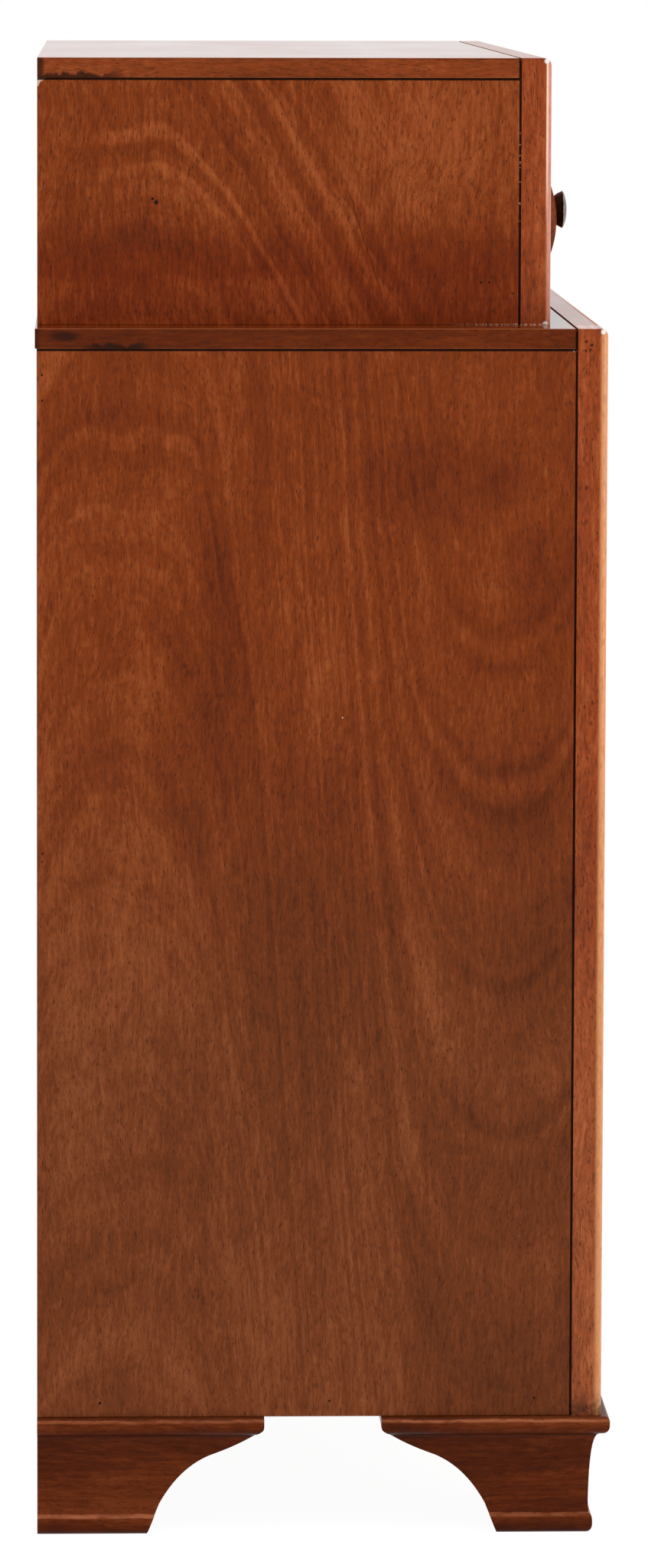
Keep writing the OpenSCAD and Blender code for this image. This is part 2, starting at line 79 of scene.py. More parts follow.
PALE = (0.380, 0.2300, 0.1050), (0.530, 0.3500, 0.1750), (0.650, 0.4750, 0.2700)
BARE = (0.165, 0.0740, 0.0300), (0.270, 0.1330, 0.0580), (0.380, 0.2150, 0.1050)

# Colours of the wear and painted highlights, the pores, and the marks and painted shade, linear
# Edge colours are wear and painted highlight on the rounded edges at once; the pale one is a painted
# highlight line alone
EDGE_WEAR_AND_HIGHLIGHT, CREAM_WEAR_AND_HIGHLIGHT = (0.440, 0.1450, 0.0480), (0.570, 0.2320, 0.0920)
PINK_WEAR_AND_HIGHLIGHT, PAINTED_HIGHLIGHT_LINE = (0.470, 0.1900, 0.1250), (0.800, 0.5000, 0.3800)
# Painted highlight on the tops of the foot mouldings
BEAD_HIGHLIGHT = (0.360, 0.1100, 0.0450)
PORE = (0.045, 0.0090, 0.0020)
PALE_PORE, BARE_PORE = (0.200, 0.1150, 0.0500), (0.090, 0.0450, 0.0200)
# Dark ink, also used as painted shade in grooves and under the foot mouldings
INK_AND_SHADE = (0.012, 0.0050, 0.0030)
# Pale chipped wood, also used for a painted highlight line along the deck's foot
CHIP_AND_HIGHLIGHT = (0.620, 0.3900, 0.2800)
# Painted glint on the stile corners
PAINTED_GLINT = (0.820, 0.7300, 0.6900)

# Colours of the metals, linear, from dark to light, with the noise value of each
PATINA = (0.30, (0.020, 0.012, 0.008)), (0.55, (0.050, 0.030, 0.019)), (0.75, (0.110, 0.070, 0.045))
# Rim and face colours: wear and a painted highlight on the parts of the knob that face the front
RIM_WEAR_AND_HIGHLIGHT = (0.30, (0.160, 0.150, 0.140)), (0.70, (0.460, 0.440, 0.430))
FACE_WEAR_AND_HIGHLIGHT = (0.30, (0.045, 0.030, 0.021)), (0.55, (0.100, 0.070, 0.050)), (0.75, (0.190, 0.145, 0.110))
SCREW = (0.30, (0.420, 0.420, 0.410)), (0.70, (0.600, 0.600, 0.580))

# Round marks seen from the end, as (y, z, radius) in metres
LOWER_SPECKS = [(0.1930, 0.1130, 0.0016), (0.0030, 0.1140, 0.0012), (-0.1670, 0.1160, 0.0012),
                (0.2405, 0.9660, 0.0012), (0.2405, 0.9450, 0.0012), (0.2405, 0.5720, 0.0012),
                (0.2405, 0.5650, 0.0010)]
LOWER_NICKS = [(-0.1945, 0.9860, 0.0014), (-0.1970, 0.9855, 0.0010), (-0.0060, 0.6840, 0.0009)]
DECK_SPECKS = [(0.1470, 1.1050, 0.0024), (0.1500, 1.1080, 0.0016), (-0.1210, 1.0390, 0.0014),
               (-0.1280, 1.0390, 0.0012), (-0.1470, 1.0300, 0.0010)]
DECK_DUST = [(-0.1500, 1.0048, 0.0009), (-0.1482, 1.0044, 0.0007), (-0.1440, 1.0043, 0.0005),
             (-0.1380, 1.0043, 0.0005), (-0.1290, 1.0043, 0.0005)]
STILE_HOLES = [(-0.2045, 0.9935, 0.0016), (-0.2090, 0.9906, 0.0017), (-0.2078, 0.9868, 0.0015),
               (-0.2040, 0.9860, 0.0013)]

# Crack in the deck's end: where it begins, and how far it leans for each metre down
CRACK_Y, CRACK_Z, CRACK_LEAN = -0.012, 1.112, -0.33

# Chipped corner of the deck's end, and the smudge on the end of the lower plate
CHIP_Y, CHIP_Z = 0.2385, 1.2065
SMUDGE_Y, SMUDGE_Z = 0.222, 0.9975

# Figure of the lower end panels: middles of the arches and of the bowls, and a line's swing between them
ARCH_Y, BOWL_Y, SWING = 0.175, -0.142, 1.02

# Heights of single lines at the foot of the bowls and at the top of the arches
BOWL_LINES = (0.756, 0.727, 0.639, 0.602, 0.466, 0.336)
ARCH_LINES = (0.956, 0.917)

# Soft dark patches, as (y, z, half width, half height)
LOWER_CLOUDS = [(-0.077, 0.880, 0.090, 0.045), (-0.172, 0.800, 0.040, 0.065),
                (0.105, 0.700, 0.060, 0.190), (0.030, 0.540, 0.090, 0.200)]

# Figure of the deck's end panels: middle, roundness and slope of the arch, and levels of single lines
DECK_ARCH_Y, DECK_ARCH_ROLL, DECK_SLOPE = 0.125, 0.03, 0.75
DECK_BRIGHT_LINES = (1.184,)
DECK_LIGHT_LINES = (1.158, 1.263, 1.325)
DECK_DARK_LINES = (1.232, 1.298, 1.352)


class Tree:
    """A material under construction: each call adds a node and returns its output."""

    def __init__(self, name):
        self.material = bpy.data.materials.new(name)
        self.material.use_nodes = True
        self.nodes = self.material.node_tree.nodes
        self.links = self.material.node_tree.links
        self.nodes.clear()
        self.out = self.nodes.new("ShaderNodeOutputMaterial")
        self.bsdf = self.nodes.new("ShaderNodeBsdfPrincipled")
        self.links.new(self.bsdf.outputs[0], self.out.inputs[0])
        coords = self.nodes.new("ShaderNodeTexCoord")
        self.x, self.y, self.z = self.split(coords.outputs["Object"])
        self.facing = self.split(coords.outputs["Normal"])
        self.generated = coords.outputs["Generated"]

    def put(self, socket, value):
        if isinstance(value, bpy.types.NodeSocket):
            self.links.new(value, socket)
        elif isinstance(value, (tuple, list)) and len(value) == 3 and len(socket.default_value) == 4:
            socket.default_value = (*value, 1)
        else:
            socket.default_value = value

    def math(self, op, a, b=None, clamp=False):
        n = self.nodes.new("ShaderNodeMath")
        n.operation, n.use_clamp = op, clamp
        self.put(n.inputs[0], a)
        if b is not None:
            self.put(n.inputs[1], b)
        return n.outputs[0]

    def add(self, *values):
        total = values[0]
        for v in values[1:]:
            total = self.math("ADD", total, v)
        return total

    def less(self, a, b):
        return self.math("SUBTRACT", a, b)

    def times(self, *values):
        total = values[0]
        for v in values[1:]:
            total = self.math("MULTIPLY", total, v)
        return total

    def most(self, *values):
        total = values[0]
        for v in values[1:]:
            total = self.math("MAXIMUM", total, v)
        return total

    def size(self, value):
        return self.math("ABSOLUTE", value)

    def length(self, a, b):
        return self.math("SQRT", self.add(self.times(a, a), self.times(b, b)))

    def split(self, vector):
        n = self.nodes.new("ShaderNodeSeparateXYZ")
        self.put(n.inputs[0], vector)
        return n.outputs[0], n.outputs[1], n.outputs[2]

    def join(self, x, y, z):
        n = self.nodes.new("ShaderNodeCombineXYZ")
        for socket, value in zip(n.inputs, (x, y, z)):
            self.put(socket, value)
        return n.outputs[0]

    def place(self, *scales):
        """The place on the piece with x, y and z each multiplied by its scale."""
        return self.join(*(self.times(axis, s) for axis, s in zip((self.x, self.y, self.z), scales)))

    def noise(self, vector, detail=2.0, rough=0.5):
        n = self.nodes.new("ShaderNodeTexNoise")
        self.put(n.inputs["Vector"], vector)
        for socket, value in (("Scale", 1.0), ("Detail", detail), ("Roughness", rough)):
            n.inputs[socket].default_value = value
        return n.outputs[0]

    def noise_1d(self, w, detail, rough=0.5):
        n = self.nodes.new("ShaderNodeTexNoise")
        n.noise_dimensions = "1D"
        self.put(n.inputs["W"], w)
        for socket, value in (("Scale", 1.0), ("Detail", detail), ("Roughness", rough)):
            n.inputs[socket].default_value = value
        return n.outputs[0]

    def centred(self, value, gain):
        """Noise about 0.5 turned into a swing about 0."""
        return self.times(self.less(value, 0.5), gain)

    def span(self, value, low, high, to_low=0.0, to_high=1.0):
        """A smooth step from to_low, where the value is low, to to_high, where it is high."""
        n = self.nodes.new("ShaderNodeMapRange")
        n.interpolation_type = "SMOOTHSTEP"
        n.clamp = True
        for socket, v in zip(n.inputs, (value, low, high, to_low, to_high)):
            self.put(socket, v)
        return n.outputs[0]

    def ramp(self, value, stops):
        """Colours blended between the stops, each a (place, colour)."""
        n = self.nodes.new("ShaderNodeValToRGB")
        elements = n.color_ramp.elements
        while len(elements) > 1:
            elements.remove(elements[-1])
        for i, (at, colour) in enumerate(stops):
            e = elements[0] if i == 0 else elements.new(at)
            e.position = at
            e.color = (*colour, 1)
        self.put(n.inputs[0], value)
        return n.outputs[0]

    def mix(self, factor, a, b):
        n = self.nodes.new("ShaderNodeMix")
        n.data_type = "RGBA"
        colour_a, colour_b = n.inputs[6], n.inputs[7]
        self.put(n.inputs[0], factor)
        self.put(colour_a, a)
        self.put(colour_b, b)
        return n.outputs[2]

    def spots(self, places):
        """Round marks at (y, z, radius)."""
        flat = self.join(0.0, self.y, self.z)
        marks = []
        for y, z, r in places:
            n = self.nodes.new("ShaderNodeVectorMath")
            n.operation = "DISTANCE"
            self.put(n.inputs[0], flat)
            n.inputs[1].default_value = (0, y, z)
            marks.append(self.span(n.outputs["Value"], r, 0.45 * r))
        return self.most(*marks)

    def clouds(self, places):
        """Soft oval patches at (y, z, half width, half height)."""
        marks = []
        for y, z, wide, high in places:
            u = self.times(self.less(self.y, y), 1 / wide)
            v = self.times(self.less(self.z, z), 1 / high)
            marks.append(self.span(self.add(self.times(u, u), self.times(v, v)), 1.0, 0.0))
        return self.most(*marks)

    def bands(self, level, places, reach):
        """1 where the level is one of the places, falling to 0 at the reach."""
        return self.most(*(self.span(self.size(self.less(level, at)), reach, 0.15 * reach) for at in places))

    def outer_edge(self):
        """1 on rounded edges, 0 on flat faces square to the axes."""
        return self.span(self.most(*(self.size(n) for n in self.facing)), 0.995, 0.93)

    def recess(self, half_width):
        """1 in the shallow grooves cut into an end that stands at half_width from the middle."""
        out = self.size(self.x)
        return self.times(self.span(out, half_width - 0.0004, half_width - 0.0010),
                          self.span(out, half_width - RECESS_DEPTH - 0.0010, half_width - RECESS_DEPTH))

    def finish(self, colour, roughness, height, relief, specular):
        self.put(self.bsdf.inputs["Base Color"], colour)
        self.put(self.bsdf.inputs["Roughness"], roughness)
        self.bsdf.inputs["Specular IOR Level"].default_value = specular
        bump = self.nodes.new("ShaderNodeBump")
        bump.inputs["Distance"].default_value = relief
        bump.inputs["Strength"].default_value = 1.0
        self.put(bump.inputs["Height"], height)
        self.links.new(bump.outputs[0], self.bsdf.inputs["Normal"])
        return self.material


def grain_axes(t, grain):
    """The coordinates (along the grain, across it, across it the other way)."""
    return {"X": (t.x, t.y, t.z), "Y": (t.y, t.x, t.z), "Z": (t.z, t.x, t.y)}[grain]


def grain_noise(t, axes, along, across, detail, rough=0.5):
    """Noise drawn out along the grain: the scales are in waves a metre."""
    scaled = [t.times(axis, scale) for axis, scale in zip(axes, (along, across, across))]
    return t.noise(t.join(*scaled), detail, rough)


def three_tones(t, value, colours):
    """The dark, middle and light colour of a wood, blended by a value from 0 to 1."""
    return t.ramp(value, list(zip((0.0, 0.5, 1.0), colours)))


def wood(t, axes, colours, figure_and_light=0.0, tone=0.35, fibre=0.5, streak=0.3, pore=0.75, pore_colour=PORE,
         gloss=0.30, shine=0.08, low=None, fade=None, ink_and_shade=None, marks=(), polish=True):
    """Wood with grain along axes[0]: broad tone, streaks, fine fibre, mottle and pores, with a
    figured pattern laid over them, which on some pieces also holds painted light and shade. It fades to the
    low colours, and then come marks as (mask, colour), some of them painted highlights, and dull dark inky
    marks, which in grooves and under mouldings are painted shade. Upward faces are smoother where the wood
    is polished. Returns the material."""
    along, across, deep = axes
    wander = t.centred(grain_noise(t, axes, 3, 5, 3, 0.6), 0.050)
    axes = along, t.add(across, wander), t.add(deep, wander)
    cloud = grain_noise(t, axes, 3.5, 9, 3)
    streaks = grain_noise(t, axes, 3.5, 60, 3, 0.6)
    fibres = grain_noise(t, axes, 42, 360, 3, 0.65)
    blotch = grain_noise(t, axes, 22, 48, 2, 0.6)
    mottle = grain_noise(t, axes, 130, 300, 3, 0.6)
    pores = t.span(grain_noise(t, axes, 170, 1350, 2), 0.56, 0.72)

    value = t.add(t.centred(cloud, tone * 2.2), t.centred(streaks, streak * 2.2), t.centred(blotch, 0.28),
                  t.centred(fibres, fibre * 1.7), t.centred(mottle, 0.60), figure_and_light)
    value = t.math("ADD", value, 0.5, clamp=True)
    colour = three_tones(t, value, colours)
    if low is not None:
        colour = t.mix(fade, colour, three_tones(t, value, low))
    colour = t.mix(t.times(pores, pore), colour, pore_colour)

    up = t.span(t.facing[2], 0.8, 1.0)
    height = t.add(t.times(pores, -0.55), t.centred(fibres, 0.25), t.centred(cloud, 0.9 if polish else 0.2))
    rough = t.add(gloss, t.times(pores, t.add(0.12, t.times(up, -0.11))), t.centred(mottle, 0.05),
                  t.centred(cloud, 0.12))
    if polish:
        height = t.times(height, t.add(1.0, t.times(up, -0.88)))
        rough = t.add(rough, t.times(up, -0.04))
    for mask, tint in marks:
        colour = t.mix(mask, colour, tint)
    if ink_and_shade is not None:
        colour = t.mix(ink_and_shade, colour, INK_AND_SHADE)
        rough = t.most(rough, t.times(ink_and_shade, 0.8))
    return t.finish(colour, rough, height, POLISHED_RELIEF if polish else BARE_RELIEF, shine)


def bare_wood(t, axes, colours, pore_colour, gloss):
    return wood(t, axes, colours, streak=0.5, pore=0.45, pore_colour=pore_colour, gloss=gloss, shine=0.3,
                polish=False)


def lower_figure(t):
    """Arches at the back of the lower end panels that fall steeply into shallow bowls near
    the front, with a few soft clouds."""
    turn = t.times(t.less(ARCH_Y, t.y), math.pi / (ARCH_Y - BOWL_Y))
    turn = t.add(turn, t.times(t.math("SINE", t.times(turn, 2)), -0.28))
    sway = t.centred(t.noise(t.place(2, 7, 4), 3, 0.55), 0.16)
    near_bowl = t.span(t.size(t.less(t.y, BOWL_Y)), 0.085, 0.030)
    sway = t.times(sway, t.add(1.0, t.times(near_bowl, -0.75)))
    level = t.add(t.z, t.times(t.math("COSINE", turn), -SWING), sway)
    ribbon = t.noise_1d(t.times(level, 11), 3, 0.6)
    fine = t.noise_1d(t.times(level, 60), 2, 0.6)
    bowls = t.bands(level, [z + SWING for z in BOWL_LINES], 0.013)
    arches = t.bands(level, [z - SWING for z in ARCH_LINES], 0.018)
    near_top = t.span(t.z, 0.70, 0.86)
    ribbons = t.times(t.add(t.centred(ribbon, 0.70), t.centred(fine, 0.24)),
                      t.add(1.0, t.times(near_bowl, -0.45)))
    return t.add(ribbons, t.times(bowls, near_bowl, -0.18), t.times(arches, near_top, -0.17),
                 t.times(t.clouds(LOWER_CLOUDS), -0.17), t.times(t.y, 0.35))


def deck_figure_and_light(t):
    """A one-sided arch near the back of the deck's end panels, with bands that slope down from it towards
    the front, a painted glow of light near the top front, a painted reflection that darkens a zone above the
    ledge, and a painted highlight along its foot."""
    out = t.less(DECK_ARCH_Y, t.y)
    sway = t.centred(t.noise(t.place(2, 9, 9), 3, 0.55), 0.05)
    level = t.add(t.z, t.length(out, DECK_ARCH_ROLL), t.times(out, DECK_SLOPE), sway)
    ribbon = t.noise_1d(t.times(level, 24), 3, 0.6)
    fine = t.noise_1d(t.times(level, 130), 2, 0.6)
    light = t.most(t.bands(level, DECK_BRIGHT_LINES, 0.008),
                   t.times(t.bands(level, DECK_LIGHT_LINES, 0.008), 0.6))
    dark = t.bands(level, DECK_DARK_LINES, 0.016)
    near_back = t.times(t.span(t.y, -0.13, -0.03), t.span(t.y, 0.225, 0.165))
    lines = t.add(t.centred(ribbon, 0.50), t.centred(fine, 0.26), t.times(light, 0.36), t.times(dark, -0.20))
    # Painted light: a glow near the top front, a painted reflection darkening the zone above the ledge, and
    # a painted highlight along the foot
    glow = t.times(t.span(t.y, 0.02, -0.10), t.span(t.z, 1.06, 1.16))
    base = t.times(t.span(t.z, 1.036, 1.052), t.span(t.z, 1.100, 1.066))
    foot = t.times(t.span(t.z, 1.048, 1.036), t.span(t.y, -0.04, 0.08))
    return t.add(t.times(lines, near_back), t.times(glow, 0.22), t.times(base, -0.12), t.times(foot, 0.14))


def front_figure(t):
    """Flame veneer, matched left and right of the middle of the chest."""
    side = t.size(t.x)
    sway = t.centred(t.noise(t.join(t.times(side, 5), t.times(t.y, 3), t.times(t.z, 5)), 3, 0.5), 0.15)
    level = t.add(t.times(t.z, 0.9), t.times(t.length(side, 0.06), -0.95), sway)
    ribbon = t.noise_1d(t.times(level, 30), 3, 0.6)
    fine = t.noise_1d(t.times(level, 150), 2, 0.6)
    return t.add(t.centred(ribbon, 0.85), t.centred(fine, 0.40))


def seam_highlight(t):
    """A broken pale line along the foot of the deck, near its front: a painted highlight."""
    low = t.times(t.span(t.z, LEDGE_HEIGHT + 0.0011, LEDGE_HEIGHT + 0.0006),
                  t.span(t.z, LEDGE_HEIGHT - 0.0002, LEDGE_HEIGHT - 0.0001))
    broken = t.span(t.noise_1d(t.times(t.y, 420), 3, 0.6), 0.44, 0.56)
    return t.times(low, broken, t.span(t.y, -0.085, -0.135, 0.0, 0.65))


def wear_and_highlight_corner(t):
    """Marks for the rounded outer corners of the stiles, each wear and painted highlight at once: bared
    orange wood on the lower case, and pink on the deck with a pale painted highlight line, with a painted
    glint at the top of each and at the foot of the deck's."""
    deck = t.span(t.z, LEDGE_HEIGHT, LEDGE_HEIGHT + 0.0005)
    case = t.less(1.0, deck)
    depth = t.less(t.y, t.add(CASE_FRONT, t.times(deck, DECK_FRONT - CASE_FRONT)))
    inward = t.less(t.add(CASE_HALF_WIDTH, t.times(deck, DECK_HALF_WIDTH - CASE_HALF_WIDTH)), t.size(t.x))
    outer = t.times(t.span(inward, 0.0085, 0.0060), t.span(t.size(t.facing[0]), 0.02, 0.20))
    uneven = t.noise(t.place(300, 300, 110), 3, 0.6)
    wave = t.centred(uneven, 0.0016)
    # Cream band on the case and pink band on the deck: wear and painted highlight together
    bare_and_highlight = t.times(t.span(t.add(depth, wave), 0.0078, 0.0046), t.span(uneven, 0.25, 0.60, 0.62, 1.0))
    pink = t.times(t.span(t.add(depth, wave), 0.0052, 0.0028), t.span(uneven, 0.25, 0.60, 0.70, 1.0))
    # Painted highlight line along the deck's rounded edge
    line = t.times(t.span(depth, 0.0050, 0.0042), t.span(depth, 0.0026, 0.0034),
                   t.span(t.z, 1.07, 1.15, 0.0, 0.9))
    top = t.add(LEDGE_HEIGHT, t.times(deck, DECK_HEIGHT - LEDGE_HEIGHT))
    # Painted glints at the top corner of each stile and at the foot of the deck's
    beside = t.less(depth, 0.0045)
    tip, foot = (t.span(t.add(t.length(beside, away), t.times(wave, 0.5)), 0.0026, 0.0013, 0.0, 0.9)
                 for away in (t.less(top, t.add(t.z, 0.0026)), t.less(t.z, LEDGE_HEIGHT + 0.0010)))
    glint = t.most(tip, t.times(foot, deck))
    return [(t.times(bare_and_highlight, outer, case), CREAM_WEAR_AND_HIGHLIGHT), (t.times(pink, outer, deck), PINK_WEAR_AND_HIGHLIGHT),
            (t.times(line, outer, deck), PAINTED_HIGHLIGHT_LINE), (t.times(glint, outer), PAINTED_GLINT)]


def lower_side_veneer():
    t = Tree("lower_side_veneer")
    # Dark specks, and painted shade in the grooves
    ink_and_shade = t.most(t.spots(LOWER_SPECKS), t.times(t.recess(CASE_HALF_WIDTH), 0.9))
    return wood(t, grain_axes(t, "Z"), SIDE, lower_figure(t), streak=0.16, low=SIDE_LOW,
                fade=t.span(t.z, 0.80, 0.35), ink_and_shade=ink_and_shade, marks=[(t.spots(LOWER_NICKS), CHIP_AND_HIGHLIGHT)])


def deck_side_veneer():
    """Deck ends, with a fine crack below the middle, a chipped back corner, and pale flecks
    caught in the groove beside the stile."""
    t = Tree("deck_side_veneer")
    crack_path = t.add(CRACK_Y, t.times(t.less(CRACK_Z, t.z), CRACK_LEAN),
                       t.centred(t.noise_1d(t.times(t.z, 60), 2, 0.6), 0.004))
    crack = t.times(t.span(t.size(t.less(t.y, crack_path)), 0.0007, 0.0002),
                    t.span(t.z, CRACK_Z + 0.010, CRACK_Z - 0.002), t.span(t.z, 1.028, 1.036))
    corner = t.add(t.less(t.y, CHIP_Y), t.less(t.z, CHIP_Z))
    chip = t.span(t.add(corner, t.centred(t.noise_1d(t.times(t.z, 400), 2), 0.004)), 0.0, 0.0012)
    groove = t.recess(DECK_HALF_WIDTH)
    flecks = t.times(t.span(t.noise_1d(t.times(t.z, 330), 2, 0.6), 0.60, 0.66), t.span(t.z, 1.080, 1.100),
                     t.span(t.z, 1.175, 1.150), groove, t.span(t.y, -0.150, -0.1525))
    # Dark specks and the crack, and painted shade in the groove, lighter where the flecks lie
    ink_and_shade = t.most(t.spots(DECK_SPECKS), t.times(crack, 0.6),
                 t.times(groove, t.add(0.9, t.times(flecks, -0.7))))
    # Pale chip, flecks and dust, and a painted highlight line along the foot
    pale = t.most(chip, t.times(flecks, 0.8), t.times(t.spots(DECK_DUST), 0.7), seam_highlight(t))
    return wood(t, grain_axes(t, "Z"), SIDE, deck_figure_and_light(t), fibre=0.65, streak=0.12, pore=0.85,
                low=SIDE_DEEP, fade=t.span(t.z, 1.11, 1.04), ink_and_shade=ink_and_shade, marks=[(pale, CHIP_AND_HIGHLIGHT)])


def plate(name, colours, front, ink_and_shade):
    """A top plate: its grain runs along each edge that is seen, its grooves are dark with painted shade, and
    its eased edges carry wear and a painted highlight.
    """
    t = Tree(name)
    groove = t.span(t.y, front + 0.0027, front + 0.0021)
    end = t.span(t.size(t.facing[0]), 0.5, 0.7)
    top = t.less(1.0, end)
    along = t.add(t.times(t.x, top), t.times(t.y, end))
    across = t.add(t.times(t.y, top), t.times(t.x, end))
    return wood(t, (along, across, t.z), colours, gloss=0.15, shine=0.065,
                marks=[(t.times(t.outer_edge(), 0.5), EDGE_WEAR_AND_HIGHLIGHT)],
                ink_and_shade=t.most(t.times(ink_and_shade(t), end), t.times(groove, 0.9)))


def deck_plate_ink(t):
    """Dark stain that runs along the lower edge of the deck plate's end, near the back."""
    wave = t.centred(t.noise_1d(t.times(t.y, 80), 3, 0.6), 0.010)
    low = t.times(t.span(t.add(t.z, wave), 1.2125, 1.2095), t.span(t.y, 0.155, 0.200))
    corner = t.span(t.add(t.y, t.times(wave, 0.6)), 0.2375, 0.2425)
    top = t.span(t.z, DECK_HEIGHT - 0.0022, DECK_HEIGHT - 0.0010)
    return t.times(t.most(low, t.times(corner, 0.9), t.times(top, 0.35)), 0.85)


def lower_plate_ink(t):
    """Dark stain on the lower plate's end: a smudge near the back and a run along the lower edge."""
    wave = t.centred(t.noise_1d(t.times(t.y, 90), 2, 0.6), 0.008)
    low = t.times(t.span(t.add(t.z, wave), 0.9925, 0.9895), t.span(t.y, 0.145, 0.165),
                  t.span(t.y, 0.215, 0.195))
    away = t.length(t.times(t.less(t.y, SMUDGE_Y), 0.32), t.less(t.z, SMUDGE_Z))
    smudge = t.span(away, 0.0055, 0.002)
    corner = t.span(t.y, 0.240, 0.246)
    return t.times(t.most(low, t.times(smudge, 0.9), t.times(corner, 0.8)), 0.8)


def rail_wood():
    t = Tree("frame_wood_x")
    # Upward-facing parts of the rounded edges made paler: wear and a painted highlight
    worn_and_highlight = t.times(t.outer_edge(), t.span(t.facing[2], 0.1, 0.3, 0.0, 0.8))
    return wood(t, grain_axes(t, "X"), FRAME, tone=0.25, streak=0.45, gloss=0.22, shine=0.10,
                marks=[(worn_and_highlight, EDGE_WEAR_AND_HIGHLIGHT)])


def stile_wood():
    """Upright wood of the face frames, paler low down, with dark patches just above the feet, corners that
    carry wear and painted highlights, and a painted highlight line at the deck's foot.
    """
    t = Tree("frame_wood_z")
    patch = t.span(t.noise(t.place(90, 90, 120), 3), 0.30, 0.60)
    ink_and_shade = t.times(patch, t.span(t.z, FOOT_HEIGHT + 0.026, FOOT_HEIGHT, 0.0, 0.75))
    marks = [*wear_and_highlight_corner(t), (t.spots(STILE_HOLES), PORE), (seam_highlight(t), CHIP_AND_HIGHLIGHT)]
    return wood(t, grain_axes(t, "Z"), FRAME, tone=0.30, streak=0.35, fibre=0.70, pore=0.9, gloss=0.22,
                shine=0.10, low=FRAME_LOW, fade=t.span(t.z, 0.75, 0.20), ink_and_shade=ink_and_shade, marks=marks)


def foot_wood(grain):
    """Dark wood of the feet, with painted light on its mouldings: each moulding has a pale painted highlight
    line at its top and painted shade that darkens it downwards, and the hollow between them has painted
    shade, darkest under the upper one."""
    t = Tree("foot_wood_" + grain.lower())
    wave = t.centred(t.noise(t.place(40, 40, 0), 3, 0.6), 0.003)
    down = t.add(t.less(FOOT_HEIGHT, t.z), wave)
    up = t.add(t.z, wave)
    rear = t.span(t.y, -0.02, 0.05)
    # Painted highlight and shade by height on the mouldings, lighter on the rear feet
    nose = t.times(t.span(down, 0.0030, 0.0145, 0.20, -0.28), t.span(down, 0.0155, 0.0145))
    hollow = t.add(t.span(up, 0.080, 0.020, -0.20, -0.08),
                   t.times(rear, t.span(up, 0.070, 0.020, 0.02, 0.26)))
    hollow = t.times(t.span(down, 0.0145, 0.0155), hollow, t.span(up, 0.0160, 0.0170))
    bead = t.times(t.span(up, 0.0160, 0.0010, 0.22, -0.38), t.span(up, 0.0170, 0.0160))
    # Painted shadow under the upper moulding and between the case and the foot
    under = t.times(t.span(down, 0.0140, 0.0155), t.span(down, 0.0200, 0.0165))
    shadow = t.span(down, 0.0014, 0.0006)
    # Painted highlight lines at the top of the nose and of the lower bead
    line = t.times(t.span(down, 0.0012, 0.0020), t.span(down, 0.0045, 0.0030),
                   t.add(0.80, t.times(rear, -0.35)))
    bead_highlight = t.times(t.span(up, 0.0172, 0.0162), t.span(up, 0.0130, 0.0148),
                     t.add(0.48, t.times(rear, 0.45)))
    broken = t.span(t.noise(t.place(60, 60, 200), 3, 0.6), 0.30, 0.55, 0.35, 1.0)
    return wood(t, grain_axes(t, grain), FOOT, figure_and_light=t.add(nose, hollow, bead), streak=0.6, fibre=0.75,
                tone=0.5, gloss=0.26, shine=0.06, marks=[(t.times(t.most(line, bead_highlight), broken), BEAD_HIGHLIGHT)],
                ink_and_shade=t.most(t.times(under, 0.45), t.times(shadow, 0.40)))


def front_veneer():
    t = Tree("front_veneer")
    return wood(t, grain_axes(t, "Z"), FRONT, front_figure(t), tone=0.5, gloss=0.22, shine=0.2)


def box_wood():
    """Pale wood of a drawer's box, with its grain along Y in the sides and along X in the back."""
    t = Tree("drawer_box_wood")
    across = t.split(t.generated)[0]
    back = t.times(t.math("GREATER_THAN", across, BOX_SIDE_SHARE),
                   t.math("LESS_THAN", across, 1 - BOX_SIDE_SHARE))
    side = t.less(1.0, back)
    along = t.add(t.times(t.x, back), t.times(t.y, side))
    over = t.add(t.times(t.y, back), t.times(t.x, side))
    return bare_wood(t, (along, over, t.z), PALE, PALE_PORE, 0.58)


def pale_wood(grain):
    t = Tree("drawer_wood_" + grain.lower())
    return bare_wood(t, grain_axes(t, grain), PALE, PALE_PORE, 0.58)


def panel_wood(grain):
    t = Tree("panel_wood_" + grain.lower())
    return bare_wood(t, grain_axes(t, grain), BARE, BARE_PORE, 0.60)


def bronze():
    """Dark bronze, bright round the rim of a knob and a little on its face, by wear and a painted highlight.
    """
    t = Tree("knob_bronze")
    patina = t.noise(t.place(160, 160, 160), 4, 0.6)
    fine = t.noise(t.place(900, 900, 900))
    ahead = t.facing[1]
    rim = t.mix(t.span(ahead, -0.20, -0.45), t.ramp(patina, PATINA), t.ramp(patina, RIM_WEAR_AND_HIGHLIGHT))
    colour = t.mix(t.span(ahead, -0.70, -0.92), rim, t.ramp(patina, FACE_WEAR_AND_HIGHLIGHT))
    t.bsdf.inputs["Metallic"].default_value = 0.9
    rough = t.add(0.28, t.centred(patina, 0.2), t.centred(fine, 0.10))
    height = t.add(t.centred(patina, 0.4), t.centred(fine, 0.2))
    return t.finish(colour, rough, height, METAL_RELIEF, 0.5)


def steel():
    t = Tree("screw_steel")
    brush = t.noise(t.place(1500, 120, 1500))
    t.bsdf.inputs["Metallic"].default_value = 1.0
    rough = t.add(0.3, t.centred(brush, 0.2))
    return t.finish(t.ramp(brush, SCREW), rough, t.centred(brush, 0.5), METAL_RELIEF, 0.5)


